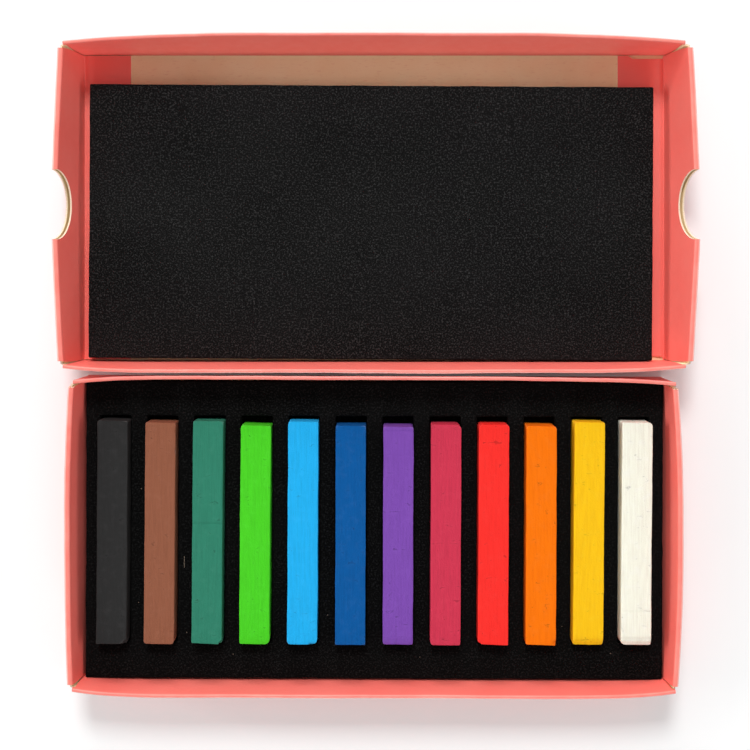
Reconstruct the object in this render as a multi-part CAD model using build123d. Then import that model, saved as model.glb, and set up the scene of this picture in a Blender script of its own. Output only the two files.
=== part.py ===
from build123d import *
from collections import namedtuple
from math import pi, sin
import os

# A set of twelve square pastel sticks in a two-piece folding-carton box. The tray
# stands in front with its foam insert and sticks. The lid lies behind it, upside down,
# with its foam pad inside. Both lie on one table at z = 0.
#
# Frame: +X to the right along the boxes, +Y to the back, +Z up. The origin is on the
# table at the middle of everything. Lengths are in millimetres, angles in degrees.

# How a rim stands out from its wall's foot: by its lean at both ends, and by its lean and
# bow at the middle. A high power keeps the bow even and lets it fall off near the ends. A
# power near 1 gives a rim that is bent at its middle.
Rim = namedtuple("Rim", "lean bow power")

# Every wall is rolled from an outer skin, a rim and an inner skin. The short walls are
# thicker than the long ones, because they take the corner tabs between their skins.
Roll = namedtuple("Roll", "thickness fold_radius has_flap")
long_roll = Roll(1.1, 0.5, has_flap=False)
end_roll = Roll(1.7, 0.62, has_flap=True)

# Board.
board = 0.45
flap_fold_radius = 0.25
flap_lift = 0.05
skin_floor_gap = 0.1
half_wall_spans = 3
tab_spans = 3

# Lid, lying open side up.
lid_length = 178.0
lid_width = 94.0
lid_height = 19.0
lid_centre = (-0.5, 46.0)
lid_far_rim = Rim(0, 2.3, 4)
lid_near_rim = Rim(0, 1.4, 8)
lid_left_rim = Rim(1.7, 2.1, 1.3)
lid_right_rim = Rim(2.5, 2.2, 1.3)
notch_radius = 10.0

# Tray.
tray_length = 173.0
tray_width = 89.4
tray_height = 18.0
tray_centre = (-0.5, -49.4)
tray_turn = -0.2
tray_far_rim = Rim(0, 1.4, 8)
tray_near_rim = Rim(0, 1.8, 8)
tray_left_rim = Rim(1.6, 1.1, 2)
tray_right_rim = Rim(0.9, 1.6, 2)

# Cut edges of the blanks.
floor_strip = 2.0
end_wall_base_gap = 0.2
end_wall_rim_gap = 1.0
flap_reach = 14.0
flap_side_gap = 0.6
flap_corner_radius = 1.2
tab_reach = 28.0
tab_top_gap = 1.3
tab_bottom_gap = 0.2
corner_gap = 0.15

# Foam.
foam_clearance = 0.3
foam_bottom = 2 * board + 0.1
base_foam_top = 4.8
slot_foam_top = 9.2
pad_length = 167.8
pad_width = 81.2
pad_thickness = 4.5
pad_centre = (-1.5, 41.5)
pad_turn = -0.32

# Sticks. Each lies in a slot that is a little longer than the stick at its far end.
stick_width = 8.8
stick_height = 8.75
stick_worn_edge = 0.4
stick_pitch = 13.8
slot_side_gap = 0.22
slot_far_end = 34.6
slot_near_end = -33.2
stick_near_end = -32.9

# Name, length and slight turn of each stick, from left to right.
sticks = [
    ("black_stick", 65.2, -0.20),
    ("brown_stick", 64.6, -0.30),
    ("dark_green_stick", 65.0, -0.25),
    ("lime_stick", 63.9, -0.25),
    ("light_blue_stick", 65.0, -0.15),
    ("dark_blue_stick", 63.8, 0.00),
    ("violet_stick", 63.6, -0.05),
    ("crimson_stick", 64.2, -0.15),
    ("red_stick", 64.2, -0.15),
    ("orange_stick", 63.9, -0.05),
    ("yellow_stick", 65.1, -0.25),
    ("white_stick", 65.0, -0.25),
]


def block(length, width, bottom, top):
    """Plain block between two heights, centred on the vertical axis."""
    return Pos(0, 0, (bottom + top) / 2) * Box(length, width, top - bottom)


def across(distance):
    """Plane square to a wall that runs along X: first axis outward, second axis up."""
    return Plane(origin=(distance, 0, 0), x_dir=(0, 1, 0), z_dir=(1, 0, 0))


def back_of_strip(printed):
    """Corners of a folded strip's raw face: the printed corners moved left by the board."""
    directions = [(Vector(b) - Vector(a)).normalized() for a, b in zip(printed, printed[1:])]
    normals = [direction.rotate(Axis.Z, 90) for direction in directions]
    raw = [Vector(printed[0]) + normals[0] * board]
    for corner, before, after in zip(printed[1:-1], normals, normals[1:]):
        mitre = (before + after) * (board / (1 + before.dot(after)))
        raw.append(Vector(corner) + mitre)
    raw.append(Vector(printed[-1]) + normals[-1] * board)
    return raw


def rolled_section(height, lean, roll):
    """Section of a wall folded from one strip, from the floor over the rim and back down."""
    foot = 2 * board + flap_lift if roll.has_flap else board + skin_floor_gap
    inner = -roll.thickness
    printed = [(-floor_strip, 0), (0, 0), (lean, height), (lean + inner, height), (inner, foot)]
    radii = [roll.fold_radius] * 3
    if roll.has_flap:
        printed.append((inner - floor_strip, foot))
        radii.append(flap_fold_radius)
    raw = back_of_strip(printed)
    outline = FilletPolyline(*printed, radius=radii).edges() + Polyline(*raw).edges()
    outline += [Line(printed[0], raw[0]), Line(printed[-1], raw[-1])]
    return make_face(outline)


def lean_at(distance, half_length, rim):
    """How far a rim stands out from its wall's foot at one station."""
    return rim.lean + rim.bow * (1 - abs(distance / half_length) ** rim.power)


def rolled_wall(half_length, height, rim, roll):
    """A wall along X, lofted through stations that lie closer together near its ends."""
    sections = []
    for step in range(-half_wall_spans, half_wall_spans + 1):
        distance = half_length * sin(pi / 2 * step / half_wall_spans)
        section = rolled_section(height, lean_at(distance, half_length, rim), roll)
        sections.append(across(distance) * section)
    return loft(sections, ruled=True)


def long_wall(length, height, rim):
    """A long side. Its inner skin stops short of the corner, where the tab folds round."""
    half = length / 2
    side = rolled_wall(half, height, rim, long_roll)
    relief_length = board + corner_gap
    relief_width = floor_strip - board
    relief_height = height - tab_top_gap + corner_gap - board
    for end in (-1, 1):
        relief = Box(2 * relief_length, relief_width, relief_height)
        middle = (end * half, -board - relief_width / 2, board + relief_height / 2)
        side -= Pos(*middle) * relief
    return side


def end_wall(width, height, rim):
    """A short side between the long ones. Its ends are cut back towards the rim."""
    inside = width / 2 - long_roll.thickness
    base_half = inside - end_wall_base_gap
    rim_half = inside - end_wall_rim_gap
    side = rolled_wall(base_half, height, rim, end_roll)
    outline = Polygon(
        (-base_half, 0), (base_half, 0), (rim_half, height), (-rim_half, height), align=None
    )
    cut = extrude(Plane.XZ * outline, amount=3 * floor_strip, both=True)
    return side & cut


def floor_flap(width):
    """Flap at the foot of an end wall's inner skin, which lies on the floor."""
    half = width / 2 - long_roll.thickness - flap_side_gap
    free_edge = -end_roll.thickness - flap_reach
    fold_edge = -end_roll.thickness - floor_strip / 2
    outline = Polygon(
        (-half, fold_edge), (half, fold_edge), (half, free_edge), (-half, free_edge), align=None
    )
    outline = fillet(outline.vertices().group_by(Axis.Y)[0], flap_corner_radius)
    return Pos(0, 0, board + flap_lift) * extrude(outline, amount=board)


def tab_section(distance, height, foot_offset, top_offset):
    """Section of a corner tab at one station: a single thickness of board on edge."""
    bottom = board + tab_bottom_gap
    top = height - tab_top_gap
    outline = Polygon(
        (foot_offset, bottom),
        (foot_offset + board, bottom),
        (top_offset + board, top),
        (top_offset, top),
        align=None,
    )
    return across(distance) * outline


def corner_tab(width, height, rim):
    """Tab folded round from a long wall's end and tucked between the end wall's skins."""
    corner = width / 2
    mouth = corner - long_roll.thickness - end_wall_base_gap
    middle_of_wall = -(end_roll.thickness + board) / 2

    sections = [tab_section(corner, height, -board, -board)]
    sections.append(tab_section(corner - board - corner_gap, height, -board, -board))
    for step in range(tab_spans + 1):
        distance = mouth - tab_reach * step / tab_spans
        lean = lean_at(distance, mouth, rim)
        top_offset = middle_of_wall + lean * (height - tab_top_gap) / height
        sections.append(tab_section(distance, height, middle_of_wall, top_offset))
    return loft(sections, ruled=True)


def thumb_notch(height):
    """Half-round cutter through both skins at the middle of an end wall's rim."""
    return Pos(0, 0, height) * Rot(90, 0, 0) * Cylinder(notch_radius, 6 * end_roll.thickness)


def end_assembly(width, height, rim, notched):
    """End wall, its floor flap and the two tabs inside it, outward along +Y."""
    side = end_wall(width, height, rim) + floor_flap(width)
    if notched:
        side -= thumb_notch(height)
    tab = corner_tab(width, height, rim)
    return side + tab + mirror(tab, about=Plane.YZ)


def carton(length, width, height, far_rim, near_rim, left_rim, right_rim, notched):
    """One folded blank, centred on its floor panel."""
    inset = floor_strip - board
    folded = block(length - 2 * inset, width - 2 * inset, 0, board)
    left_end = end_assembly(width, height, left_rim, notched)
    right_end = end_assembly(width, height, right_rim, notched)
    folded += Pos(0, width / 2, 0) * long_wall(length, height, far_rim)
    folded += Pos(0, -width / 2, 0) * Rot(0, 0, 180) * long_wall(length, height, near_rim)
    folded += Pos(-length / 2, 0, 0) * Rot(0, 0, 90) * left_end
    folded += Pos(length / 2, 0, 0) * Rot(0, 0, -90) * right_end
    return folded


def stick_place(index):
    """Distance of a slot's middle line from the middle of the tray."""
    return (index - (len(sticks) - 1) / 2) * stick_pitch


def slotted_foam():
    """Upper foam layer with one through slot for each stick."""
    foam = block(insert_length, insert_width, base_foam_top, slot_foam_top)
    slot_width = stick_width + 2 * slot_side_gap
    slot_length = slot_far_end - slot_near_end
    slot_middle = (slot_far_end + slot_near_end) / 2
    for index in range(len(sticks)):
        cutter = Box(slot_width, slot_length, 3 * slot_foam_top)
        foam -= Pos(stick_place(index), slot_middle, 0) * cutter
    return foam


def stick(index, length, turn):
    """Square stick with softened edges, resting on the lower foam."""
    bar = Box(stick_width, length, stick_height)
    bar = chamfer(bar.edges(), stick_worn_edge)
    middle = (stick_place(index), stick_near_end + length / 2, base_foam_top + stick_height / 2)
    return Pos(*middle) * Rot(0, 0, turn) * bar


insert_length = tray_length - 2 * end_roll.thickness - 2 * foam_clearance
insert_width = tray_width - 2 * long_roll.thickness - 2 * foam_clearance
tray_place = Pos(*tray_centre, 0) * Rot(0, 0, tray_turn)
lid_place = Pos(*lid_centre, 0)

nodes = {}
nodes["tray"] = tray_place * carton(
    tray_length,
    tray_width,
    tray_height,
    tray_far_rim,
    tray_near_rim,
    tray_left_rim,
    tray_right_rim,
    notched=False,
)
nodes["lid"] = lid_place * carton(
    lid_length,
    lid_width,
    lid_height,
    lid_far_rim,
    lid_near_rim,
    lid_left_rim,
    lid_right_rim,
    notched=True,
)
nodes["base_foam"] = tray_place * block(insert_length, insert_width, foam_bottom, base_foam_top)
nodes["slot_foam"] = tray_place * slotted_foam()
pad = block(pad_length, pad_width, foam_bottom, foam_bottom + pad_thickness)
nodes["lid_pad"] = Pos(*pad_centre, 0) * Rot(0, 0, pad_turn) * pad
for index, (name, length, turn) in enumerate(sticks):
    nodes[name] = tray_place * stick(index, length, turn)

os.makedirs("parts", exist_ok=True)
for name, solid in nodes.items():
    export_step(solid, f"parts/{name}.step")

whole = Compound(children=list(nodes.values())).bounding_box()
print("lowest corner", whole.min)
print("highest corner", whole.max)
print("middle", whole.center())
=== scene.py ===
# %% [markdown]
# # Twelve square pastel sticks in a folding-carton box
#
# The object is a two-piece box of printed board. The tray stands in front, with a black foam
# insert and twelve pastel sticks. The lid lies behind it with its open side up and a loose
# foam pad inside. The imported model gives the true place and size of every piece. It could be
# shown as it is with good colours on it, but its folds are sharp and its sticks are unworn.
# So each piece is modelled again here, in its place, with the folds, cut edges, soft corners
# and finishes of the real one.

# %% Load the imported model
from collections import namedtuple
from math import atan2, cos, pi, radians, sin, sqrt, tan

import bmesh
import bpy
from mathutils import Matrix, Vector, noise


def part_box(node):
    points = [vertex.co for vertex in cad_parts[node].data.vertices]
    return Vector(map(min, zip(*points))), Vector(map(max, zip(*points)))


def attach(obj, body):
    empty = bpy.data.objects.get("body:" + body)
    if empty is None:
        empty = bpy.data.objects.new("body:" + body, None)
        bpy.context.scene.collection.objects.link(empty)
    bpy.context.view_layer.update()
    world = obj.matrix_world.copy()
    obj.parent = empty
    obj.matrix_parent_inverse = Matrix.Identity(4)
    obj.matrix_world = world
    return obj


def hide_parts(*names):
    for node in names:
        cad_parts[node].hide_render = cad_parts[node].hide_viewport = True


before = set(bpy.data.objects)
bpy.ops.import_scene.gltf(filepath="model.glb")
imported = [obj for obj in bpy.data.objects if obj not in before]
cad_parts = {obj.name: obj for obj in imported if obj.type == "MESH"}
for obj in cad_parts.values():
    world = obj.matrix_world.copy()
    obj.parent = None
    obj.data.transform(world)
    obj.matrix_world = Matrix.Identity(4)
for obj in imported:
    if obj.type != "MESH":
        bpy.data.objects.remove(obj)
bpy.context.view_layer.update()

mm = 0.001
noise_seed = 7
noise.seed_set(noise_seed)

# %% [markdown]
# ## Camera
#
# The view is straight down. A camera over the middle of both boxes would be simplest, but
# the upright walls spread away from a point that is higher in the picture than its middle.
# So the camera hangs over that point, 350 mm up, and the frame is shifted down to take in
# both boxes. The height sets how much larger the rims look than the floors.

# %% Camera over the boxes
camera_place = Vector((-0.3, 26.6, 350)) * mm
camera = bpy.data.objects.new("camera", bpy.data.cameras.new("camera"))
camera.location = camera_place
camera.data.lens = 55.6
camera.data.shift_y = -0.1373
camera.data.clip_start = 10 * mm
bpy.context.scene.collection.objects.link(camera)
bpy.context.scene.camera = camera
bpy.context.scene.view_settings.view_transform = "Standard"
print("camera height in mm:", round(camera_place.z / mm))

# %% [markdown]
# ## Light
#
# A photo studio lights such a flat lay with large soft lamps. One lamp straight above would
# be simplest, but it only grazes the walls, and their insides would go dark. Here the key
# softbox stands behind the boxes and high up, so soft shadows fall towards the near side.
# Four weak softboxes stand low around the boxes and reach the walls. Each lamp is given the
# share of full light that it puts on the table. With the sky's share they add up to about
# 1.2, so a colour renders about as it is written.


# %% A softbox
def softbox(name, heading, elevation, share, size=0.5, distance=1.3):
    """Square lamp that looks at the table from a heading, in degrees clockwise from +Y."""
    heading, elevation = radians(heading), radians(elevation)
    level = cos(elevation)
    toward_lamp = Vector((level * sin(heading), level * cos(heading), sin(elevation)))
    lamp = bpy.data.objects.new(name, bpy.data.lights.new(name, "AREA"))
    lamp.data.shape = "SQUARE"
    lamp.data.size = size
    lamp.data.energy = share * pi**2 * distance**2 / toward_lamp.z
    lamp.location = toward_lamp * distance
    lamp.rotation_euler = toward_lamp.to_track_quat("Z", "Y").to_euler()
    bpy.context.scene.collection.objects.link(lamp)
    print(name, "power in watts:", round(lamp.data.energy, 1))
    return share


# %% Five softboxes and the sky's share
lamp_shares = [
    softbox("key_softbox", heading=-6, elevation=49, share=0.45, size=0.30),
    softbox("near_softbox", heading=176, elevation=21, share=0.14),
    softbox("left_softbox", heading=-84, elevation=14, share=0.11),
    softbox("right_softbox", heading=96, elevation=14, share=0.05),
    softbox("back_softbox", heading=-4, elevation=12, share=0.11),
]
sky_share = 0.36
print("light on the table, all shares:", round(sum(lamp_shares) + sky_share, 2))

# %% [markdown]
# ## Node helper
#
# Every finish here is a small web of shader nodes. The nodes could be added one by one, with
# a line for each socket, but then the recipe of a finish is lost in wiring. A short function
# that adds one node and fills its sockets keeps each finish readable. A value goes straight
# on the socket, and a socket of another node is linked.


# %% Add a shader node
def add_node(tree, kind, inputs=None, **properties):
    """New shader node. Inputs are values or the sockets of other nodes."""
    new = tree.nodes.new("ShaderNode" + kind)
    for name, value in properties.items():
        setattr(new, name, value)
    for name, value in (inputs or {}).items():
        if isinstance(value, bpy.types.NodeSocket):
            tree.links.new(value, new.inputs[name])
        else:
            new.inputs[name].default_value = value
    return new


def add_math(tree, operation, first, second):
    """Result socket of one sum or product."""
    return add_node(tree, "Math", {0: first, 1: second}, operation=operation).outputs[0]


def remap(tree, value, low, high, to_low=0.0, to_high=1.0):
    """The value's range from low to high, stretched to a new range and clamped."""
    inputs = {"Value": value, "From Min": low, "From Max": high}
    inputs.update({"To Min": to_low, "To Max": to_high})
    return add_node(tree, "MapRange", inputs).outputs[0]


print("node helpers:", add_node.__name__, add_math.__name__, remap.__name__)


# %% Start and end of a material
def new_material(name):
    """Empty node material, with the coordinates of the object as its first node."""
    material = bpy.data.materials.new(name)
    material.use_nodes = True
    material.node_tree.nodes.clear()
    place = add_node(material.node_tree, "TexCoord").outputs["Object"]
    return material, material.node_tree, place


def finish_material(tree, shader):
    """Link the shader to the material's output."""
    output = add_node(tree, "OutputMaterial")
    tree.links.new(shader.outputs[0], output.inputs["Surface"])


print("material helpers:", new_material.__name__, finish_material.__name__)

# %% [markdown]
# ## Background and floor
#
# The boxes lie on pure white paper. Enough light on it would make it white, but would wash
# out the boxes too. So the sky is white only for rays that come from the camera or through a
# reflection, and lights the object with its own smaller share.


# %% White sky
def seen_directly(tree):
    """Socket that is 1 for camera, mirror and glass rays, and 0 for the light on surfaces."""
    path = add_node(tree, "LightPath").outputs
    seen = add_math(tree, "ADD", path["Is Camera Ray"], path["Is Glossy Ray"])
    return add_math(tree, "ADD", seen, path["Is Transmission Ray"])


world = bpy.data.worlds.new("sky")
world.use_nodes = True
world.node_tree.nodes.clear()
bpy.context.scene.world = world
strength = remap(world.node_tree, seen_directly(world.node_tree), 0.0, 1.0, sky_share, 1.0)
sky = add_node(world.node_tree, "Background", {"Strength": strength})
world_output = add_node(world.node_tree, "OutputWorld")
world.node_tree.links.new(sky.outputs[0], world_output.inputs["Surface"])
print("share of light from the sky:", sky_share)

# %% [markdown]
# The paper is plain and matt. It could be a white plane that catches only the shadow, but
# then it would give no light back to the walls. It shines a little of its own for the same
# rays instead, so that it is white in the open and still keeps the shadow. It shines more
# far from the boxes, where the softboxes don't reach. In the narrow gap between the boxes it
# doesn't shine, so the gap stays as dark as such a gap is.

# %% Floor paper
floor_white = (0.82, 0.835, 0.835, 1)
floor_lift = 0.12
far_lift = 0.8
lift_grows_from, lift_grows_to = 0.115, 0.7
gap_half_size = {"X": (86 * mm, 92 * mm), "Y": (3.5 * mm, 6 * mm)}

paper, tree, place = new_material("floor_paper")
along_axis = add_node(tree, "SeparateXYZ", {"Vector": place}).outputs
in_open = []
for axis, (low, high) in gap_half_size.items():
    distance = add_node(tree, "Math", {0: along_axis[axis]}, operation="ABSOLUTE").outputs[0]
    in_open.append(remap(tree, distance, low, high))
outside_gap = add_math(tree, "MAXIMUM", *in_open)
far_away = add_node(tree, "VectorMath", {0: place}, operation="LENGTH").outputs["Value"]
lift = remap(tree, far_away, lift_grows_from, lift_grows_to, floor_lift, far_lift)
lift = add_math(tree, "MULTIPLY", lift, seen_directly(tree))
lift = add_math(tree, "MULTIPLY", lift, outside_gap)
matt = add_node(tree, "BsdfDiffuse", {"Color": floor_white})
glow = add_node(tree, "Emission", {"Strength": lift})
finish_material(tree, add_node(tree, "AddShader", {0: matt.outputs[0], 1: glow.outputs[0]}))
print("floor finish:", paper.name)

# %% Floor
floor_half_size = 8
below_boxes = 0.02 * mm
floor_mesh = bmesh.new()
bmesh.ops.create_grid(floor_mesh, size=floor_half_size)
floor = bpy.data.objects.new("floor", bpy.data.meshes.new("floor"))
floor_mesh.to_mesh(floor.data)
floor_mesh.free()
floor.location.z = -below_boxes
floor.data.materials.append(paper)
bpy.context.scene.collection.objects.link(floor)
print("floor size in metres:", 2 * floor_half_size)

# %% [markdown]
# ## Finishes of the board
#
# The cartons are thin board, printed coral on one side and varnished. A single colour would
# look like plastic. Real print is a little cloudy, its surface shows the fibres below as a
# fine tooth, and it wears pale along the folded rims, where the ink cracks. Part of the pale
# colour on the rims and their outer folds is a painted highlight for the varnish's sheen
# there. The wear could be painted on by hand. Here the pale colour follows the height above
# the table, which is greatest at the rims, and the way the surface faces, so it lies on the
# outer fold without a painted texture.


# %% Shared pattern helpers
def stretched(tree, coordinates, scale):
    """Coordinates scaled along each axis. A small scale draws a pattern out along it."""
    return add_node(tree, "Mapping", {"Vector": coordinates, "Scale": scale}).outputs[0]


def cloud(tree, coordinates, size, detail=3.0):
    """Noise from 0 to 1 whose blobs are about as large as the size."""
    inputs = {"Vector": coordinates, "Scale": 1 / size, "Detail": detail}
    return add_node(tree, "TexNoise", inputs).outputs[0]


def blend_colours(tree, amount, first, second):
    """Colour socket that goes from the first colour to the second as the amount goes to 1."""
    mix = add_node(tree, "Mix", data_type="RGBA")
    for socket, value in ((mix.inputs[0], amount), (mix.inputs[6], first), (mix.inputs[7], second)):
        if isinstance(value, bpy.types.NodeSocket):
            tree.links.new(value, socket)
        else:
            socket.default_value = value
    return mix.outputs[2]


def bump(tree, height, depth):
    """Normal socket of a relief that is as deep as the depth."""
    return add_node(tree, "Bump", {"Height": height, "Distance": depth}).outputs[0]


print("pattern helpers:", stretched.__name__, cloud.__name__, blend_colours.__name__, bump.__name__)

# %% Printed coral side
coral = (0.95, 0.195, 0.158, 1)
coral_dense = (0.94, 0.170, 0.138, 1)
# Paler coral for the rims and their outer folds: worn ink plus a painted highlight for the
# varnish's sheen.
coral_worn_and_highlight = (0.97, 0.40, 0.33, 1)
coral_rubbed_and_highlight = (0.98, 0.76, 0.70, 1)
rubbed_highlight_amount = 0.5
pale_rim_starts_below, pale_rim_full_below = 0.7 * mm, 0.1 * mm


def outwardness(tree, place, middle):
    """How much a surface looks away from the box's middle, from -1 to 1."""
    from_middle = add_node(tree, "VectorMath", {0: place, 1: middle}, operation="SUBTRACT")
    flat = {0: from_middle.outputs[0], 1: (1, 1, 0)}
    level = add_node(tree, "VectorMath", flat, operation="MULTIPLY")
    direction = add_node(tree, "VectorMath", {0: level.outputs[0]}, operation="NORMALIZE")
    normal = add_node(tree, "NewGeometry").outputs["Normal"]
    both = {0: direction.outputs[0], 1: normal}
    return add_node(tree, "VectorMath", both, operation="DOT_PRODUCT").outputs["Value"]


def coral_print(name, rim_height, middle):
    """Satin coral print, cloudy and finely toothed, paler on the rims and their outer folds by wear
    and a painted highlight.
    """
    material, tree, place = new_material(name)
    clouds = remap(tree, cloud(tree, place, 14 * mm), 0.35, 0.7)
    ink = blend_colours(tree, clouds, coral, coral_dense)
    height = add_node(tree, "SeparateXYZ", {"Vector": place}).outputs["Z"]
    # Pale patches along the rims: worn ink and a painted highlight.
    at_rim = remap(tree, height, rim_height - pale_rim_starts_below, rim_height - pale_rim_full_below)
    patches = remap(tree, cloud(tree, place, 5 * mm, detail=4), 0.3, 0.7, 0.12, 0.42)
    colour = blend_colours(tree, add_math(tree, "MULTIPLY", at_rim, patches), ink, coral_worn_and_highlight)
    # Outer folds paler still: cracked ink and a painted highlight on the fold.
    outer_fold = remap(tree, outwardness(tree, place, middle), 0.15, 0.55)
    rubbed_and_highlight = add_math(tree, "MULTIPLY", at_rim, outer_fold)
    rubbed_and_highlight = add_math(tree, "MULTIPLY", rubbed_and_highlight, rubbed_highlight_amount)
    colour = blend_colours(tree, rubbed_and_highlight, colour, coral_rubbed_and_highlight)
    tooth = cloud(tree, place, 0.35 * mm, detail=2)
    shader = add_node(tree, "BsdfPrincipled", {
        "Base Color": colour,
        "Roughness": remap(tree, cloud(tree, place, 3 * mm), 0.3, 0.7, 0.40, 0.52),
        "Normal": bump(tree, tooth, 0.006 * mm),
        "Specular IOR Level": 0.45,
    })
    finish_material(tree, shader)
    return material


print("coral print, plain and rubbed:", coral[:3], coral_rubbed_and_highlight[:3])


# %% Raw side and cut edges
def raw_board():
    """Unprinted inside of the blank: warm tan pulp with darker fibres."""
    material, tree, place = new_material("raw_board")
    pulp = remap(tree, cloud(tree, place, 9 * mm), 0.3, 0.7)
    colour = blend_colours(tree, pulp, (0.97, 0.80, 0.50, 1), (0.95, 0.74, 0.44, 1))
    fibres = cloud(tree, stretched(tree, place, (0.25, 1.0, 1.0)), 0.5 * mm, detail=4)
    dark_fibres = remap(tree, fibres, 0.58, 0.72, 0.0, 0.25)
    colour = blend_colours(tree, dark_fibres, colour, (0.70, 0.36, 0.20, 1))
    shader = add_node(tree, "BsdfPrincipled", {
        "Base Color": colour,
        "Roughness": 0.85,
        "Normal": bump(tree, fibres, 0.03 * mm),
        "Specular IOR Level": 0.15,
    })
    finish_material(tree, shader)
    return material


def cut_edge():
    """Pale core of the board where it is cut, in thin layers."""
    material, tree, place = new_material("cut_edge")
    layers = cloud(tree, place, 0.15 * mm, detail=2)
    colour = blend_colours(
        tree, remap(tree, layers, 0.4, 0.65), (0.94, 0.79, 0.62, 1), (0.82, 0.58, 0.42, 1)
    )
    shader = add_node(tree, "BsdfPrincipled", {
        "Base Color": colour,
        "Roughness": 0.9,
        "Normal": bump(tree, layers, 0.02 * mm),
        "Specular IOR Level": 0.1,
    })
    finish_material(tree, shader)
    return material


raw_side = raw_board()
cut_side = cut_edge()
print("board finishes:", raw_side.name, cut_side.name)

# %% [markdown]
# ## Cartons
#
# Each box is one cut blank. Its walls are folded up from the floor, rolled over a flat rim
# and folded down again inside, so every wall has two skins with a gap between them. The short
# walls end in flaps that lie on the floor. The long walls' ends carry tabs that fold round
# the corner and lie between the two skins of the short walls, which are thicker for that.
#
# The walls could be boxes, but then there would be no folds, no gap and no cut edges. Here
# the printed face is built as one thin sheet, panel by panel, with the rounded folds in it.
# A Solidify modifier then gives it the thickness of the board, and puts the raw finish on its
# back and the pale core on its edges, as on the real blank.

# %% Sizes of the board, its folds and its tabs
Roll = namedtuple("Roll", "thickness fold_radius has_flap")
long_roll = Roll(1.1 * mm, 0.5 * mm, has_flap=False)
end_roll = Roll(1.7 * mm, 0.7 * mm, has_flap=True)
board = 0.45 * mm
flap_fold_radius = 0.3 * mm
fold_steps = 5
floor_margin = 1.0 * mm
flap_height = 2 * board + 0.05 * mm
flap_reach = 14.0 * mm
flap_side_gap = 1.1 * mm
flap_corner_radius = 1.6 * mm
end_gap_at_floor = 1.3 * mm
end_gap_at_rim = 2.1 * mm
tab_reach = 28.0 * mm
tab_bottom = 1.0 * mm
tab_top_gap = 1.3 * mm
corner_relief = 0.6 * mm
station_pitch = 3.0 * mm
print("board in mm:", board / mm, "walls in mm:", long_roll.thickness / mm, end_roll.thickness / mm)

# %% Sizes of the tray and the lid
# How a rim stands out from its wall's foot: the lean at its ends, the extra bow at its
# middle, and the power that keeps the bow even towards the ends.
Rim = namedtuple("Rim", "lean bow power")
Carton = namedtuple("Carton", "length width height far near left right notch_radius")

tray_form = Carton(
    173.0 * mm, 89.4 * mm, 18.0 * mm,
    far=Rim(0, 1.4 * mm, 8), near=Rim(0, 1.8 * mm, 8),
    left=Rim(1.6 * mm, 1.1 * mm, 2), right=Rim(0.9 * mm, 1.6 * mm, 2),
    notch_radius=0,
)
lid_form = Carton(
    178.0 * mm, 94.0 * mm, 19.0 * mm,
    far=Rim(0, 2.3 * mm, 4), near=Rim(0, 1.4 * mm, 8),
    left=Rim(1.7 * mm, 2.1 * mm, 1.3), right=Rim(2.5 * mm, 2.2 * mm, 1.3),
    notch_radius=10.0 * mm,
)
extra = (lid_form.length - tray_form.length, lid_form.width - tray_form.width)
print("lid longer and wider by mm:", [round(value / mm, 1) for value in extra])

# %% [markdown]
# A wall is drawn once, as a section: a line that runs out from the floor panel, up the
# outside, over the rim, down the inside and, on a short wall, along the flap. It could be
# extruded along the wall, but the rims stand out by a different amount at each place. So the
# section is worked out anew at each station, with every fold as a small arc of its own.


# %% A rounded fold
def fold(before, corner, after, radius):
    """Points of the arc that rounds one corner of a section."""
    toward = (corner - before).normalized()
    away = (after - corner).normalized()
    turn = atan2(toward.x * away.y - toward.y * away.x, toward.dot(away))
    side = 1 if turn > 0 else -1
    start = corner - toward * radius * tan(abs(turn) / 2)
    centre = start + Vector((-toward.y, toward.x)) * radius * side
    arm = start - centre
    turns = [turn * step / fold_steps for step in range(fold_steps + 1)]
    return [centre + Matrix.Rotation(angle, 2) @ arm for angle in turns]


def lean_at(share, rim):
    """How far a rim stands out, at a share of the way from its middle to its end."""
    return rim.lean + rim.bow * (1 - abs(share) ** rim.power)


rim_middles = [lean_at(0, rim) / mm for rim in (lid_form.far, lid_form.right)]
print("lid rims stand out at their middle by mm:", [round(middle, 1) for middle in rim_middles])


# %% Section of a rolled wall
skin_runs = 6
flap_runs = 12
flap_corner_runs = 5
inner_skin_ends_above = 2.0 * mm
tuck_gap = 0.1 * mm


def run_heights(low, high):
    """Even heights along a straight skin."""
    return [low + (high - low) * step / skin_runs for step in range(skin_runs + 1)]


def wall_section(height, lean, roll):
    """Printed face of a rolled wall: outward offset and height of each point."""
    back = -roll.thickness
    foot = flap_height if roll.has_flap else board + tuck_gap
    corners = [(-floor_margin, 0), (0, 0), (lean, height), (lean + back, height), (back, foot)]
    corners = [Vector(corner) for corner in corners]
    outer = [Vector((lean * z / height, z)) for z in run_heights(tab_bottom, height - tab_top_gap)]
    inner_heights = run_heights(height - tab_top_gap, inner_skin_ends_above)
    inner = [Vector((lean * z / height + back, z)) for z in inner_heights]
    points = [corners[0]]
    points += fold(corners[0], corners[1], corners[2], roll.fold_radius)
    points += outer
    points += fold(corners[1], corners[2], corners[3], roll.fold_radius)
    down = fold(corners[2], corners[3], corners[4], roll.fold_radius)
    points += [(points[-1] + down[0]) / 2] + down + inner
    if not roll.has_flap:
        return points + [corners[4]]
    flap_end = corners[4] - Vector((flap_reach, 0))
    points += fold(corners[3], corners[4], flap_end, flap_fold_radius)
    corner_start = flap_end + Vector((flap_corner_radius, 0))
    fold_end = points[-1]
    for step in range(1, flap_runs + 1):
        points.append(fold_end.lerp(corner_start, (step / flap_runs) ** 1.5))
    for step in range(1, flap_corner_runs):
        pulled_in = flap_corner_radius * (1 - sin(pi / 8 * step))
        points.append(flap_end + Vector((pulled_in, 0)))
    return points


section = wall_section(tray_form.height, 0, end_roll)
print("points in a section:", len(section))

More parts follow.
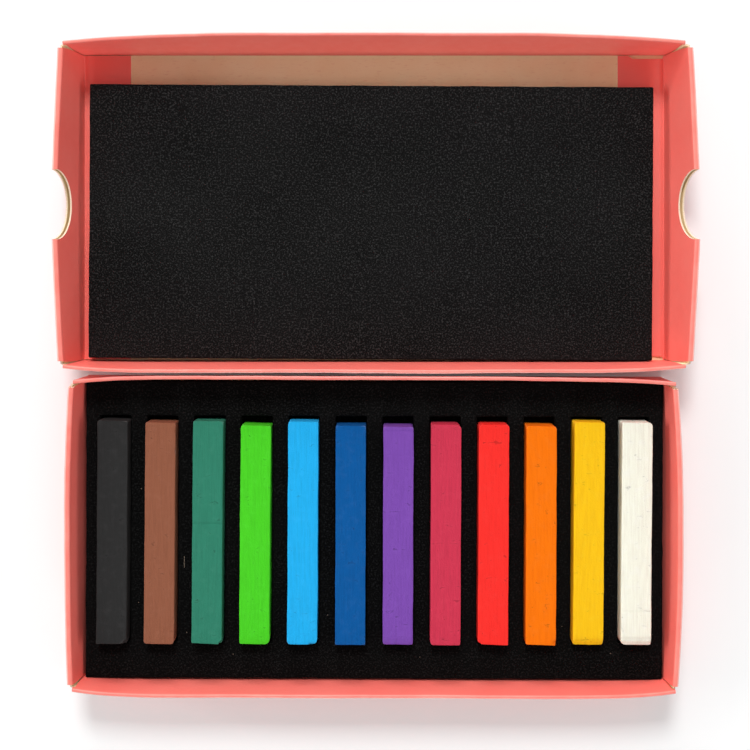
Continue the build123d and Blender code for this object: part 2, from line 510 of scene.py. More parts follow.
# %% [markdown]
# The blank is made of panels: the floor, four rolled walls and four corner tabs. They could
# be separate meshes, but then Solidify would close each of them with cut edges along the
# folds. Each panel is a grid of faces, and neighbouring panels put their points in the same
# places, so they can be welded into one sheet.


# %% A grid panel
def even(half, pitch):
    """Even stations from minus half to half, about a pitch apart."""
    count = round(2 * half / pitch)
    return [half * (2 * step / count - 1) for step in range(count + 1)]


def add_panel(sheet, columns, transform, skipped=lambda column, row: False, flipped=False):
    """Faces between the points of a grid. The printed side is on the left of each column."""
    grid = [[sheet.verts.new(transform @ Vector(point)) for point in column] for column in columns]
    for column in range(len(grid) - 1):
        for row in range(len(grid[0]) - 1):
            if skipped(column, row):
                continue
            a, b = grid[column][row : row + 2]
            d, c = grid[column + 1][row : row + 2]
            sheet.faces.new((a, d, c, b) if flipped else (a, b, c, d))


print("stations along a long wall:", len(even(lid_form.length / 2, station_pitch)))


# %% Floor panel and long walls
def add_floor(sheet, form):
    """Floor panel. Its edges have the same stations as the walls that are folded from it."""
    along = even(form.length / 2 - floor_margin, station_pitch)
    edge = form.width / 2 - floor_margin
    across = [-edge] + even(form.width / 2 - end_gap_at_floor, station_pitch) + [edge]
    add_panel(sheet, [[(x, y, 0) for y in across] for x in along], Matrix.Identity(4))


def add_long_wall(sheet, form, rim, transform):
    """Long wall with no flap. Near its ends a skin is left out where the tab folds round."""
    half = form.length / 2
    stations = even(half - floor_margin, station_pitch)
    stations = [-half, corner_relief - half] + stations + [half - corner_relief, half]
    columns = []
    for x in stations:
        section = wall_section(form.height, lean_at(x / half, rim), long_roll)
        columns.append([(x, point.x, point.y) for point in section])
    outer_first = fold_steps + 2
    outer_last = outer_first + skin_runs
    inner_first = outer_last + 2 * fold_steps + 4

    def skipped(column, row):
        at_end = column in (0, len(stations) - 2)
        return at_end and (outer_first <= row < outer_last or row >= inner_first)

    add_panel(sheet, columns, transform, skipped)


print("a skin ends short of the corner by mm:", corner_relief / mm)


# %% Short walls and their flaps
ridge_from_fold = 1.3 * mm
ridge_width = 0.7 * mm


def half_width(form, offset, height):
    """Half the length of a short wall at one point of its section, flap and corners included."""
    from_free_edge = offset + end_roll.thickness + flap_reach
    if height > flap_height or offset > -end_roll.thickness - flap_fold_radius:
        share = (height / form.height) ** 3
        return form.width / 2 - end_gap_at_floor * (1 - share) - end_gap_at_rim * share
    rounding = max(0, flap_corner_radius - from_free_edge)
    inset = flap_corner_radius - sqrt(flap_corner_radius**2 - rounding**2)
    return form.width / 2 - long_roll.thickness - flap_side_gap - inset


def add_end_wall(sheet, form, rim, transform, ridge):
    """Short wall. Its flap is pressed down by hand, so a soft ridge is left beside its fold."""
    base = form.width / 2 - end_gap_at_floor
    columns = []
    for station in even(base, station_pitch):
        share = station / base
        column = []
        for point in wall_section(form.height, lean_at(share, rim), end_roll):
            along = share * half_width(form, point.x, point.y)
            from_fold = -end_roll.thickness - point.x
            if from_fold > flap_fold_radius and point.y < 2 * flap_height:
                varied = 1 + 0.8 * noise.noise(Vector((along / (5 * mm), form.height * 100, 0)))
                swell = ((from_fold - ridge_from_fold) / ridge_width) ** 2
                point.y += ridge * varied * 2.718 ** -swell
            column.append((along, point.x, point.y))
        columns.append(column)
    add_panel(sheet, columns, transform)


print("tray's flap, half its length in mm:", round(half_width(tray_form, -8 * mm, 0) / mm, 1))


# %% Corner tabs
slip_runs = 5
tab_runs = 10


def add_tab(sheet, form, end_rim, long_rim, transform, side):
    """Tab that folds round from a long wall's end and lies between the short wall's skins."""
    corner = form.width / 2
    mouth = corner - end_gap_at_floor
    long_lean = lean_at(1 - corner_relief / (form.length / 2), long_rim)
    heights = run_heights(tab_bottom, form.height - tab_top_gap)
    between_skins = -(end_roll.thickness - board) / 2
    columns = []
    for step in range(fold_steps + 1):
        turn = pi / 2 * step / fold_steps
        along = corner - corner_relief * (1 - cos(turn))
        offset = -corner_relief * (1 - sin(turn))
        fading = long_lean * (1 - step / fold_steps) / form.height
        columns.append([(side * (along + fading * z), offset, z) for z in heights])
    for step in range(1, slip_runs + 1):
        share = step / slip_runs
        along = (corner - corner_relief) * (1 - share) + mouth * share
        smooth = share**2 * (3 - 2 * share)
        lean = end_rim.lean / form.height
        columns.append([(side * along, smooth * (between_skins + lean * z), z) for z in heights])
    for step in range(1, tab_runs + 1):
        along = mouth - tab_reach * step / tab_runs
        lean = lean_at(along / mouth, end_rim) / form.height
        columns.append([(side * along, between_skins + lean * z, z) for z in heights])
    add_panel(sheet, columns, transform, flipped=side > 0)


print("a tab reaches behind the short wall's skin by mm:", tab_reach / mm)


# %% Whole blank
def turned(degrees, x, y):
    """Turn about the upright axis, then a move across the table."""
    return Matrix.Translation((x, y, 0)) @ Matrix.Rotation(radians(degrees), 4, "Z")


def folded_blank(form, ridges):
    """One sheet with the printed faces of all panels, joined along their folds."""
    sheet = bmesh.new()
    add_floor(sheet, form)
    add_long_wall(sheet, form, form.far, turned(0, 0, form.width / 2))
    add_long_wall(sheet, form, form.near, turned(180, 0, -form.width / 2))
    ends = (
        (form.left, turned(90, -form.length / 2, 0), form.far, form.near, ridges[0]),
        (form.right, turned(-90, form.length / 2, 0), form.near, form.far, ridges[1]),
    )
    for rim, transform, rim_on_right, rim_on_left, ridge in ends:
        add_end_wall(sheet, form, rim, transform, ridge)
        add_tab(sheet, form, rim, rim_on_right, transform, side=1)
        add_tab(sheet, form, rim, rim_on_left, transform, side=-1)
    bmesh.ops.remove_doubles(sheet, verts=sheet.verts, dist=0.01 * mm)
    loose = [vertex for vertex in sheet.verts if not vertex.link_faces]
    bmesh.ops.delete(sheet, geom=loose, context="VERTS")
    return sheet


test_sheet = folded_blank(tray_form, (0, 0))
print("faces in the tray's printed sheet:", len(test_sheet.faces))
cut_edges = sum(1 for edge in test_sheet.edges if edge.is_boundary)
bad_edges = sum(1 for edge in test_sheet.edges if len(edge.link_faces) > 2)
print("cut edges:", cut_edges, "bad edges:", bad_edges)
test_sheet.free()

# %% [markdown]
# Board that has been folded by hand is never quite flat. Bump in the finish could hint at
# that, but the rims' outline would stay dead straight. So the sheet is moved a little by
# smooth noise, more towards the rims, before it gets its thickness. Both skins of a wall
# then move together, and the gap between them stays.


# %% Waves in the board
broad_wave, fine_wave = 0.26 * mm, 0.07 * mm


def wave(sheet, height, seed):
    """Gentle waves that grow towards the rim, with a finer unevenness on top."""
    for vertex in sheet.verts:
        rise = vertex.co.z / height
        broad = noise.noise_vector(vertex.co / (34 * mm) + Vector((seed, 0, 0)))
        fine = noise.noise_vector(vertex.co / (7 * mm) + Vector((0, seed, 0)))
        shift = broad_wave * broad + fine_wave * fine
        shift.z *= 0.5
        vertex.co += shift * rise


print("largest broad wave in mm:", round(broad_wave / mm, 2))


# %% From mesh code to a piece
def apply_modifiers(piece):
    """Replace the piece's mesh by the result of its modifiers."""
    evaluated = piece.evaluated_get(bpy.context.evaluated_depsgraph_get())
    result = bpy.data.meshes.new_from_object(evaluated)
    piece.modifiers.clear()
    piece.data = result


def smooth_with_sharp_edges(piece, angle):
    """Smooth shading, with edges kept crisp where faces meet at more than the angle."""
    for polygon in piece.data.polygons:
        polygon.use_smooth = True
    piece.data.set_sharp_from_angle(angle=radians(angle))


def new_piece(name, mesh_code, materials):
    """Object made from mesh code, in place in the shared frame."""
    piece = bpy.data.objects.new(name, bpy.data.meshes.new(name))
    mesh_code.to_mesh(piece.data)
    mesh_code.free()
    for material in materials:
        piece.data.materials.append(material)
    bpy.context.scene.collection.objects.link(piece)
    return piece


helpers = (apply_modifiers, smooth_with_sharp_edges, new_piece)
print("piece helpers:", *[helper.__name__ for helper in helpers])

# %% [markdown]
# The printed sheet becomes board, and the lid gets a half-round thumb notch in each short
# wall. The notch could be drawn into the panels, but its edge would have to match in both
# skins. A Boolean punches it through both in one stroke, as the die does, and the fresh cut
# takes its pale finish from the punch.


# %% Board thickness and thumb notches
punch_outside = 1.5 * mm
punch_depth = 12 * mm


def thicken(piece):
    """Board behind the printed face: raw finish on its back, pale core on its cut edges."""
    solidify = piece.modifiers.new("board", "SOLIDIFY")
    solidify.thickness = board
    solidify.offset = -1
    solidify.use_even_offset = True
    solidify.material_offset = 1
    solidify.material_offset_rim = 2


def punch_notches(piece, form, centre):
    """Half-round thumb notch through both skins at the middle of each short wall's rim."""
    punches = bmesh.new()
    for side in (-1, 1):
        middle = Vector((side * (form.length / 2 + punch_outside), 0, form.height))
        place = Matrix.Translation(centre + middle) @ Matrix.Rotation(pi / 2, 4, "Y")
        bmesh.ops.create_cone(
            punches, cap_ends=True, segments=96, radius1=form.notch_radius,
            radius2=form.notch_radius, depth=punch_depth, matrix=place,
        )
    cutter = new_piece("notch_punch", punches, [cut_side])
    boolean = piece.modifiers.new("notches", "BOOLEAN")
    boolean.object = cutter
    boolean.operation = "DIFFERENCE"
    boolean.solver = "EXACT"
    boolean.material_mode = "TRANSFER"
    return cutter


print("thumb notch radius in mm:", lid_form.notch_radius / mm)


# %% Finished carton
sharp_board_angle = 32


def make_carton(name, form, place, seed, ridges):
    """Folded, thickened and punched carton, in its place on the table."""
    sheet = folded_blank(form, ridges)
    wave(sheet, form.height, seed)
    sheet.transform(place)
    print_side = coral_print(name + "_print", form.height, place.translation)
    carton = new_piece(name, sheet, [print_side, raw_side, cut_side])
    thicken(carton)
    cutter = punch_notches(carton, form, place.translation) if form.notch_radius else None
    apply_modifiers(carton)
    if cutter:
        bpy.data.objects.remove(cutter)
    smooth_with_sharp_edges(carton, sharp_board_angle)
    print(name, "faces:", len(carton.data.polygons))
    return carton


# %% Tray and lid
tray_turn = -0.2
tray_place = turned(tray_turn, -0.5 * mm, -49.4 * mm)
tray = make_carton("tray_carton", tray_form, tray_place, seed=3.1, ridges=(0, 0))
lid_place = turned(0, -0.5 * mm, 46.0 * mm)
lid = make_carton("lid_carton", lid_form, lid_place, seed=7.4, ridges=(0.18 * mm, 0.34 * mm))
for carton, node in ((tray, "tray"), (lid, "lid")):
    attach(carton, node)
    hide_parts(node)
print("tray middle in mm:", [round(value / mm, 1) for value in tray_place.translation])

# %% [markdown]
# ## Foam
#
# The insert and the pad are thin black foam, cut with a knife. Cut foam looks almost black,
# because light that goes into its open cells doesn't come back. Plain black would look like
# a hole, though: the cell walls at the surface catch a little light, as a fine grey speckle.
# So the colour is very dark with a speckle over it, and the mirror-like reflection that a
# shader adds by itself is nearly taken away.


# %% Black foam
def black_foam(name, level):
    """Nearly black open-cell foam, with a fine pale speckle where cell walls catch light."""
    material, tree, place = new_material(name)
    cells = cloud(tree, place, 0.5 * mm, detail=5)
    broad = remap(tree, cloud(tree, place, 30 * mm, detail=2), 0.3, 0.7)
    dark, light, speckle = [(level * tone,) * 3 + (1,) for tone in (0.0055, 0.0080, 0.050)]
    colour = blend_colours(tree, broad, dark, light)
    colour = blend_colours(tree, remap(tree, cells, 0.50, 0.76), colour, speckle)
    shader = add_node(tree, "BsdfPrincipled", {
        "Base Color": colour,
        "Roughness": 0.95,
        "Normal": bump(tree, cells, 0.10 * mm),
        "Specular IOR Level": 0.04,
    })
    finish_material(tree, shader)
    return material


# The insert is the same foam as the pad, but at a lower level: painted shade for the deep tray it
# lies in.
pad_foam = black_foam("pad_foam", 0.92)
shaded_insert_foam = black_foam("shaded_insert_foam", 0.36)
print("foam finishes:", pad_foam.name, shaded_insert_foam.name)

# %% [markdown]
# Foam sheets and pastel sticks are both blocks with soft edges. A cube with a bevel would
# give the outline, but only a few large faces, and nothing to shape afterwards. So a block
# is built from small quads on its six sides, and the points near its edges are pulled onto
# a round. The pad lies flat and has no cover or seam, so it needs no cloth simulation: a
# little smooth noise makes its knife-cut sides uneven.


# %% Block with rounded edges
edge_steps = 3


def block_stations(half, cell, radius, extra=()):
    """Even stations on the flat part of one side, closer ones round both edges."""
    flat = half - radius
    arcs = [pi / 4 * step / edge_steps for step in range(1, edge_steps + 1)]
    rounding = [flat + radius * tan(arc) for arc in arcs]
    inside = [place for place in even(flat, cell) if all(abs(place - x) > cell / 3 for x in extra)]
    return [-place for place in reversed(rounding)] + sorted(inside + list(extra)) + rounding


def rounded_block(size, radius, cell, cuts=()):
    """Closed block whose middle is at the origin. Cuts are extra stations along Y."""
    half = size / 2
    inner = half - Vector((radius, radius, radius))
    grids = [block_stations(half.x, cell, radius), block_stations(half.y, cell, radius, cuts)]
    grids.append(block_stations(half.z, cell, radius))
    block = bmesh.new()
    for axis in range(3):
        across, along = (axis + 1) % 3, (axis + 2) % 3
        for side in (-1, 1):
            columns = []
            for first in grids[across]:
                column = []
                for second in grids[along]:
                    point = Vector((0, 0, 0))
                    point[axis], point[across], point[along] = side * half[axis], first, second
                    column.append(point)
                columns.append(column)
            add_panel(block, columns, Matrix.Identity(4), flipped=side > 0)
    bmesh.ops.remove_doubles(block, verts=block.verts, dist=0.002 * mm)
    for vertex in block.verts:
        core = Vector([max(-limit, min(limit, value)) for limit, value in zip(inner, vertex.co)])
        vertex.co = core + (vertex.co - core).normalized() * radius
    bmesh.ops.recalc_face_normals(block, faces=block.faces)
    return block


print("stations on a 4.4 mm side:", len(block_stations(2.2 * mm, 2 * mm, 0.45 * mm)))


# %% Pad in the lid
def node_middle(node):
    """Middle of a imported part's box, which is where its visual piece goes."""
    low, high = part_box(node)
    return (low + high) / 2


def uneven(block, amount, size, seed):
    """Move a block's points by smooth noise, as on material cut by hand."""
    for vertex in block.verts:
        vertex.co += amount * noise.noise_vector(vertex.co / size + Vector((seed, 0, 0)))


pad_size = Vector((167.8, 81.5, 4.4)) * mm
pad_middle = node_middle("lid_pad") - Vector((0, 0.15 * mm, 0))
pad_turn = radians(-0.32)
sharp_foam_angle = 60
pad_block = rounded_block(pad_size, 0.45 * mm, 2 * mm)
uneven(pad_block, 0.12 * mm, 9 * mm, seed=11.0)
uneven(pad_block, 0.05 * mm, 2.5 * mm, seed=12.0)
pad_block.transform(Matrix.Translation(pad_middle) @ Matrix.Rotation(pad_turn, 4, "Z"))
pad = new_piece("lid_pad_foam", pad_block, [pad_foam])
smooth_with_sharp_edges(pad, sharp_foam_angle)
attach(pad, "pad")
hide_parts("lid_pad")
print("pad middle in mm:", [round(value / mm, 1) for value in pad_middle])

# %% [markdown]
# ## Foam insert
#
# The insert has two layers. The lower one is plain and carries the sticks. The upper one has
# a slot cut through for each stick, a little longer than the stick. Twelve Booleans would
# cut such slots, but would leave long thin faces that shade badly. So the upper layer's face
# is a grid of quads with the twelve slots left out, given its thickness afterwards. A narrow
# bevel rounds the slots' edges as a knife's cut does in foam, and smooth noise keeps the
# edges from being dead straight.

# %% Sizes of the insert
stick_pitch = 13.87 * mm
slot_half_width = 4.62 * mm
slot_near, slot_far = -33.2 * mm, 33.5 * mm
insert_half = Vector((84.9, 43.65)) * mm
foam_face = 9.2 * mm
foam_split = 4.85 * mm
foam_sink = 0.14 * mm
foam_tremble = 0.12 * mm
layer_gap = 0.3 * mm
foam_cell = 1.4 * mm
stick_count = 12
middle_stick = (stick_count - 1) / 2
stick_columns = [(number - middle_stick) * stick_pitch for number in range(stick_count)]
print("slot length in mm:", round((slot_far - slot_near) / mm, 1), "slots:", len(stick_columns))


# %% Face of the slotted layer
def subdivided(edges, pitch):
    """Stations at all the edges, with even ones between them."""
    result = [edges[0]]
    for low, high in zip(edges, edges[1:]):
        count = max(1, round((high - low) / pitch))
        result += [low + (high - low) * step / count for step in range(1, count + 1)]
    return result


def slotted_sheet():
    """Top face of the slotted layer, with slightly ragged slots and edges."""
    slot_edges = [x + side * slot_half_width for x in stick_columns for side in (-1, 1)]
    along = subdivided([-insert_half.x] + slot_edges + [insert_half.x], foam_cell)
    across = subdivided([-insert_half.y, slot_near, slot_far, insert_half.y], foam_cell)

    def skipped(column, row):
        x = (along[column] + along[column + 1]) / 2
        y = (across[row] + across[row + 1]) / 2
        in_slot = any(abs(x - middle) < slot_half_width for middle in stick_columns)
        return in_slot and slot_near < y < slot_far

    sheet = bmesh.new()
    grid = [[(x, y, foam_face) for y in across] for x in along]
    add_panel(sheet, grid, Matrix.Identity(4), skipped, flipped=True)
    bmesh.ops.delete(sheet, geom=[v for v in sheet.verts if not v.link_faces], context="VERTS")
    for vertex in sheet.verts:
        vertex.co += foam_tremble * noise.noise_vector(vertex.co / (4 * mm))
        vertex.co.z -= foam_sink
    bmesh.ops.recalc_face_normals(sheet, faces=sheet.faces)
    if sum(face.normal.z for face in sheet.faces) < 0:
        bmesh.ops.reverse_faces(sheet, faces=sheet.faces)
    return sheet


foam_sheet = slotted_sheet()
print("faces in the slotted sheet:", len(foam_sheet.faces))

# %% Slotted layer
foam_sheet.transform(tray_place)
slotted = new_piece("slotted_foam", foam_sheet, [shaded_insert_foam])
layer = slotted.modifiers.new("layer", "SOLIDIFY")
layer.thickness = foam_face - foam_split - layer_gap
layer.offset = -1
soft_edges = slotted.modifiers.new("soft_edges", "BEVEL")
soft_edges.width = 0.35 * mm
soft_edges.segments = 3
soft_edges.limit_method = "ANGLE"
soft_edges.angle_limit = radians(50)
apply_modifiers(slotted)
smooth_with_sharp_edges(slotted, sharp_foam_angle)
print("slotted layer faces:", len(slotted.data.polygons))

# %% Plain layer
base_low, base_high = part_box("base_foam")
base_size = Vector((168.6 * mm, 86.2 * mm, base_high.z - base_low.z - 0.1 * mm))
base_block = rounded_block(base_size, 0.4 * mm, 3 * mm)
base_turn = Matrix.Rotation(radians(tray_turn), 4, "Z")
base_block.transform(Matrix.Translation(node_middle("base_foam")) @ base_turn)
plain = new_piece("plain_foam", base_block, [shaded_insert_foam])
smooth_with_sharp_edges(plain, sharp_foam_angle)
for layer_piece, node in ((slotted, "slot_foam"), (plain, "base_foam")):
    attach(layer_piece, "insert")
    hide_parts(node)
print("lower layer height in mm:", round(base_size.z / mm, 2))

# %% [markdown]
# ## Pastel sticks
#
# Soft pastel is pigment paste that was pressed into a square bar, cut and dried. It is matt
# and powdery. The press leaves fine streaks along the bar, drying opens fine cracks, and
# handling leaves pits and powdery edges. A flat colour would look like coloured plastic, and a
# photo of real sticks would bring its own light with it. So each stick's own colour is
# broken up by a few layers of noise, and the same noise gives the surface its relief. The
# cracks and pits are also darkened with painted shade, and the edges are lightened with a
# painted highlight along with their powder.

# %% Stick colours
stick_colours = {
    "black": (43, 43, 43),
    "brown": (145, 89, 66),
    "dark_green": (48, 127, 103),
    "lime": (74, 208, 35),
    "light_blue": (32, 175, 239),
    "dark_blue": (4, 86, 155),
    "violet": (124, 75, 173),
    "crimson": (206, 54, 80),
    "red": (255, 49, 43),
    "orange": (255, 119, 2),
    "yellow": (255, 196, 20),
    "white": (252, 250, 232),
}
brightest_pigment = 0.95


def from_screen(colour, share):
    """Shader colour of a screen colour from 0 to 255, times a share."""
    parts = [value / 255 for value in colour]
    linear = [((p + 0.055) / 1.055) ** 2.4 if p > 0.04045 else p / 12.92 for p in parts]
    return tuple(min(brightest_pigment, value * share) for value in linear) + (1,)


def between(first, second, share):
    """Colour that lies a share of the way from the first colour to the second."""
    return tuple(a + (b - a) * share for a, b in zip(first, second))


print("red in the shader:", [round(value, 3) for value in from_screen(stick_colours["red"], 1.0)])

# %% Pastel finish
# Pale powder colour, also used for the painted highlight on the edges.
powder_and_highlight_white = (0.9, 0.9, 0.88, 1)
crack_width = 0.006


def pastel(name, colour):
    """Matt pressed pigment with streaks along the bar, fine cracks and pits with painted shade, and
    powdery edges with a painted highlight.
    """
    material, tree, place = new_material(name + "_pastel")
    streaks = cloud(tree, stretched(tree, place, (1.0, 0.06, 1.0)), 0.5 * mm, detail=4)
    mottle = cloud(tree, place, 2.2 * mm, detail=5)
    grain = cloud(tree, place, 0.22 * mm, detail=3)
    dents = cloud(tree, stretched(tree, place, (1.0, 0.5, 1.0)), 4.5 * mm, detail=4)
    body = from_screen(colour, 1.0)
    powder = between(from_screen(colour, 1.12), powder_and_highlight_white, 0.025)
    tone = blend_colours(tree, remap(tree, streaks, 0.42, 0.66), body, from_screen(colour, 0.91))
    tone = blend_colours(tree, remap(tree, mottle, 0.50, 0.80, 0.0, 0.35), tone, powder)
    # Dark spots are painted shade for small pits; they have no relief of their own.
    pit_shade = remap(tree, cloud(tree, place, 0.9 * mm, detail=4), 0.68, 0.76, 0.0, 0.4)
    tone = blend_colours(tree, pit_shade, tone, from_screen(colour, 0.5))
    # A crack follows one level line of a noise, and shows only where the mottling is high.
    winding = cloud(tree, stretched(tree, place, (0.45, 1.6, 1.0)), 5 * mm, detail=5)
    inputs = {0: winding, 1: 0.5, 2: crack_width}
    on_line = add_node(tree, "Math", inputs, operation="COMPARE").outputs[0]
    cracks = add_math(tree, "MULTIPLY", on_line, remap(tree, mottle, 0.58, 0.64))
    # Cracks are darkened with painted shade, besides being cut into the relief below.
    crack_shade = add_math(tree, "MULTIPLY", cracks, 0.45)
    tone = blend_colours(tree, crack_shade, tone, from_screen(colour, 0.4))
    # Edges are lightened by pointiness: powder rubbed on the edges plus a painted highlight where
    # they catch the light.
    edges = remap(tree, add_node(tree, "NewGeometry").outputs["Pointiness"], 0.52, 0.60, 0.0, 0.6)
    tone = blend_colours(tree, edges, tone, between(body, powder_and_highlight_white, 0.12))
    relief = add_math(tree, "ADD", add_math(tree, "MULTIPLY", streaks, 0.6), grain)
    relief = add_math(tree, "ADD", relief, add_math(tree, "MULTIPLY", dents, 5.0))
    relief = add_math(tree, "SUBTRACT", relief, cracks)
    shader = add_node(tree, "BsdfPrincipled", {
        "Base Color": tone,
        "Roughness": 0.85,
        "Normal": bump(tree, relief, 0.09 * mm),
        "Specular IOR Level": 0.12,
    })
    finish_material(tree, shader)
    return material


crumb_finish = pastel("crumb", (128, 108, 90))
print("nodes in a pastel finish:", len(crumb_finish.node_tree.nodes))

# %% [markdown]
# No two sticks are alike: one has lost a corner, another is cut askew, and some have a bevel
# from the mould. Random wear would be quicker, but would put the chips in the wrong places.
# So each stick has a short list of what happened to it. Corner radii, slants and bevels are
# in millimetres, with the left corner before the right one and the far end before the near
# one. A bite is a ball (x, y, z, radius) measured from the stick's middle, and a groove
# across the top is (y, depth). What isn't given stays as the press and the knife leave it.

# %% How each stick is worn
Wear = namedtuple(
    "Wear", "turn far near slants chamfer bites grooves",
    defaults=((0.5, 0.5), (0.5, 0.5), (0, 0), 0.0, (), ()),
)
stick_wear = {
    "black": Wear(-0.20, far=(0.8, 0.4), near=(0.3, 0.3), slants=(0.2, 0.0),
                  bites=((4.9, -32.8, 4.4, 1.7), (3.5, -33.3, 4.6, 1.3), (-4.6, 20.0, 4.9, 0.8))),
    "brown": Wear(-0.30, far=(0.5, 0.4), near=(0.9, 0.9), slants=(0.15, 0.1),
                  bites=((4.9, 24.0, 4.7, 0.9), (5.0, 12.0, 4.6, 0.8), (5.0, -6.0, 4.7, 0.8),
                         (4.9, 30.0, 4.5, 0.9))),
    "dark_green": Wear(-0.25, far=(0.4, 0.4), near=(0.3, 0.5), slants=(0.0, 0.35),
                       bites=((4.8, -32.6, 4.2, 1.5), (3.6, -12.5, 5.0, 0.95),
                              (3.6, -29.2, 4.9, 0.7)),
                       grooves=((2.6, 0.16),)),
    "lime": Wear(-0.25, far=(0.8, 0.3), near=(0.4, 1.5), slants=(0.3, 0.1),
                 bites=((4.9, -4.0, 4.8, 0.8), (-4.7, -20.0, 4.8, 0.7)), chamfer=0.25),
    "light_blue": Wear(-0.15, far=(0.8, 0.3), near=(0.9, 1.6), slants=(0.1, 0.1),
                       bites=((2.9, -33.0, 4.8, 1.4), (-3.2, 9.0, 4.9, 0.6),
                              (-3.0, 7.6, 4.85, 0.55))),
    "dark_blue": Wear(0.0, far=(0.4, 0.4), near=(0.35, 0.35), bites=((4.8, 12.0, 4.9, 0.7),)),
    "violet": Wear(-0.05, far=(0.5, 0.5), near=(0.6, 0.5), slants=(0.1, -0.1), chamfer=0.3,
                   grooves=((30.6, 0.14), (23.4, 0.07))),
    "crimson": Wear(-0.15, far=(0.4, 1.5), near=(1.0, 0.4),
                    bites=((-4.7, -31.0, 4.7, 0.9), (4.8, 3.0, 4.8, 0.7))),
    "red": Wear(-0.15, far=(1.0, 0.9), near=(0.6, 0.3), slants=(0.0, 0.35),
                bites=((-4.8, -32.4, 4.3, 1.6), (-0.8, -0.4, 4.72, 0.6), (1.6, -5.6, 4.75, 0.6))),
    "orange": Wear(-0.05, far=(0.3, 0.9), near=(0.4, 0.5), slants=(0.1, -0.3),
                   bites=((4.6, -31.2, 4.7, 1.1), (3.9, -32.6, 4.9, 0.9))),
    "yellow": Wear(-0.25, far=(0.6, 0.5), near=(0.7, 0.6), slants=(0.1, 0.0), chamfer=1.0,
                   bites=((-1.4, 33.1, 4.9, 0.9), (2.4, 33.2, 4.8, 0.9))),
    "white": Wear(-0.25, far=(0.3, 1.1), near=(1.5, 0.5), chamfer=1.0,
                  bites=((-2.2, -20.8, 4.75, 0.6),), grooves=((-22.5, 0.10), (-30.4, 0.22))),
}
print("chips on all sticks:", sum(len(worn.bites) for worn in stick_wear.values()))

# %% [markdown]
# A stick is made in its own frame, with its length along Y. Sculpting would give the same
# chips, but not from a list. Here every point of the block is moved in turn: down for a
# groove or a bevel, onto a quarter circle at a corner, back for a slanted end, and out of
# the ball of a bite. At last its long sides wobble by a tenth of a millimetre, because soft
# paste doesn't keep a ruler's edge.

# %% Corners and ends of a stick
slant_run = 4 * mm


def round_corner(point, half, radius):
    """Pull a point of the corner square onto its quarter disc."""
    inner = Vector((half.x - radius, half.y - radius))
    over = Vector((abs(point.x) - inner.x, abs(point.y) - inner.y))
    if over.x <= 0 or over.y <= 0:
        return
    over *= max(over) / over.length
    point.x = (inner.x + over.x) * (1 if point.x > 0 else -1)
    point.y = (inner.y + over.y) * (1 if point.y > 0 else -1)


def slant_ends(point, half, worn):
    """Shear the last few millimetres of both ends."""
    for end, slant in zip((1, -1), worn.slants):
        from_end = half.y - end * point.y
        if from_end < slant_run:
            back = slant * mm * (1 + end * point.x / half.x) / 2
            point.y -= end * abs(back) * (1 - from_end / slant_run)


print("an end slants over its last mm:", slant_run / mm)

# %% Shape of a stick
stick_edge, stick_cell = 0.22 * mm, 0.7 * mm
groove_half_width = 0.25 * mm
chamfer_run = 2.0 * mm
wobble_size = Vector((0.11, 0.05, 0.04)) * mm
roughness = 0.045 * mm


def stick_block(size, worn, seed):
    """Block of one stick, with all of its wear."""
    half = size / 2
    steps = (-groove_half_width, 0, groove_half_width)
    cuts = [y * mm + step for y, depth in worn.grooves for step in steps]
    block = rounded_block(size, stick_edge, stick_cell, cuts)
    for vertex in block.verts:
        point = vertex.co
        for y, depth in worn.grooves:
            if abs(point.y - y * mm) < 0.01 * mm and point.z > half.z - 0.2 * mm:
                point.z -= depth * mm
        along = -half.y - point.y + chamfer_run
        if worn.chamfer and along > 0 and point.z > 0:
            point.z -= worn.chamfer * mm * along / chamfer_run * point.z / half.z
        corner_radii = worn.far if point.y > 0 else worn.near
        round_corner(point, half, corner_radii[0 if point.x < 0 else 1] * mm)
        slant_ends(point, half, worn)
        for x, y, z, ball in worn.bites:
            arm = point - Vector((x, y, z)) * mm
            reach = ball * mm * (1 + 0.25 * noise.noise(point / (0.9 * mm)))
            if arm.length < reach:
                point += arm.normalized() * (reach - arm.length)
        wobble = noise.noise_vector(Vector((seed, point.y / (9 * mm), point.z / (9 * mm))))
        rough = noise.noise_vector(point / (1.3 * mm) + Vector((seed, 0, 0)))
        point += wobble * wobble_size + roughness * rough
    return block


print("cells along a stick's top:", len(block_stations(32 * mm, stick_cell, stick_edge)) - 1)

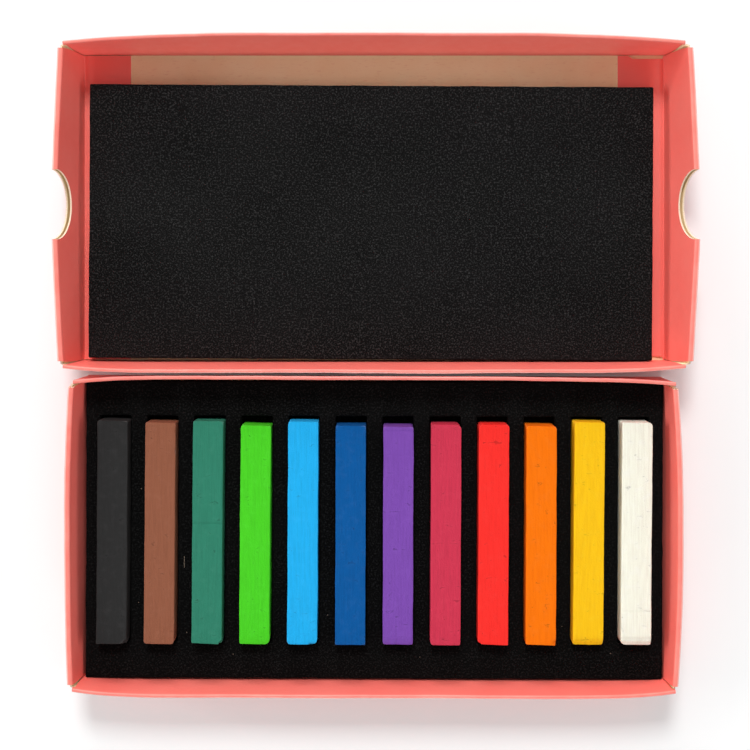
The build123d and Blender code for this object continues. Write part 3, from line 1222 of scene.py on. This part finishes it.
# %% Twelve sticks
stick_width = 8.75 * mm
shrunk_length, shrunk_height = 0.1 * mm, 0.05 * mm
pushed_back = 0.45 * mm
spread = 0.07 * mm
sharp_stick_angle = 70
for number, (name, colour) in enumerate(stick_colours.items()):
    node = name + "_stick"
    low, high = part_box(node)
    worn = stick_wear[name]
    turn = radians(worn.turn + tray_turn)
    true_length = (high.y - low.y) * cos(turn) - (high.x - low.x) * abs(sin(turn))
    size = Vector((stick_width, true_length - shrunk_length, high.z - low.z - shrunk_height))
    block = stick_block(size, worn, seed=number * 3.7)
    middle = node_middle(node) + Vector(((number - middle_stick) * spread, pushed_back, 0))
    block.transform(Matrix.Translation(middle) @ Matrix.Rotation(turn, 4, "Z"))
    stick = new_piece(name + "_pastel_stick", block, [pastel(name, colour)])
    smooth_with_sharp_edges(stick, sharp_stick_angle)
    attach(stick, node)
    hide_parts(node)
    print(name, "length in mm:", round(true_length / mm, 2))

# %% [markdown]
# ## Crumbs
#
# A used set sheds a few crumbs and a bit of lint on the foam. They are tiny, but the plain
# black face looks too clean without them. A particle system could scatter hundreds, but a
# handful is what lies there, so each one is a small lump at a place of its own.

# %% Crumbs and lint on the foam
crumb_places = (
    (-68.6, 12.0, 0.13), (-69.3, -21.5, 0.10), (-55.1, -30.2, 0.11), (-41.4, -36.6, 0.12),
    (-13.6, -25.0, 0.10), (13.5, -37.3, 0.11), (55.3, -28.1, 0.10), (69.6, -36.0, 0.11),
)
crumb_height = 9.12
crumb_shape = Matrix.Diagonal((1.3, 1.0, 0.6, 1.0))
lint_middle = Vector((-55.9, -9.5, 9.16)) * mm
lint_length = 3.4 * mm

crumb_mesh = bmesh.new()
for x, y, radius in crumb_places:
    spot = Matrix.Translation(Vector((x, y, crumb_height)) * mm) @ crumb_shape
    bmesh.ops.create_icosphere(crumb_mesh, subdivisions=2, radius=radius * mm, matrix=spot)
bmesh.ops.create_cone(
    crumb_mesh, cap_ends=True, segments=8, radius1=0.07 * mm, radius2=0.05 * mm,
    depth=lint_length, matrix=Matrix.Translation(lint_middle) @ Matrix.Rotation(pi / 2, 4, "X"),
)
for vertex in crumb_mesh.verts:
    vertex.co += 0.05 * mm * noise.noise_vector(vertex.co / (0.25 * mm))
crumb_mesh.transform(tray_place)
crumbs = new_piece("crumbs", crumb_mesh, [crumb_finish])
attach(crumbs, "insert")
print("crumbs:", len(crumb_places))
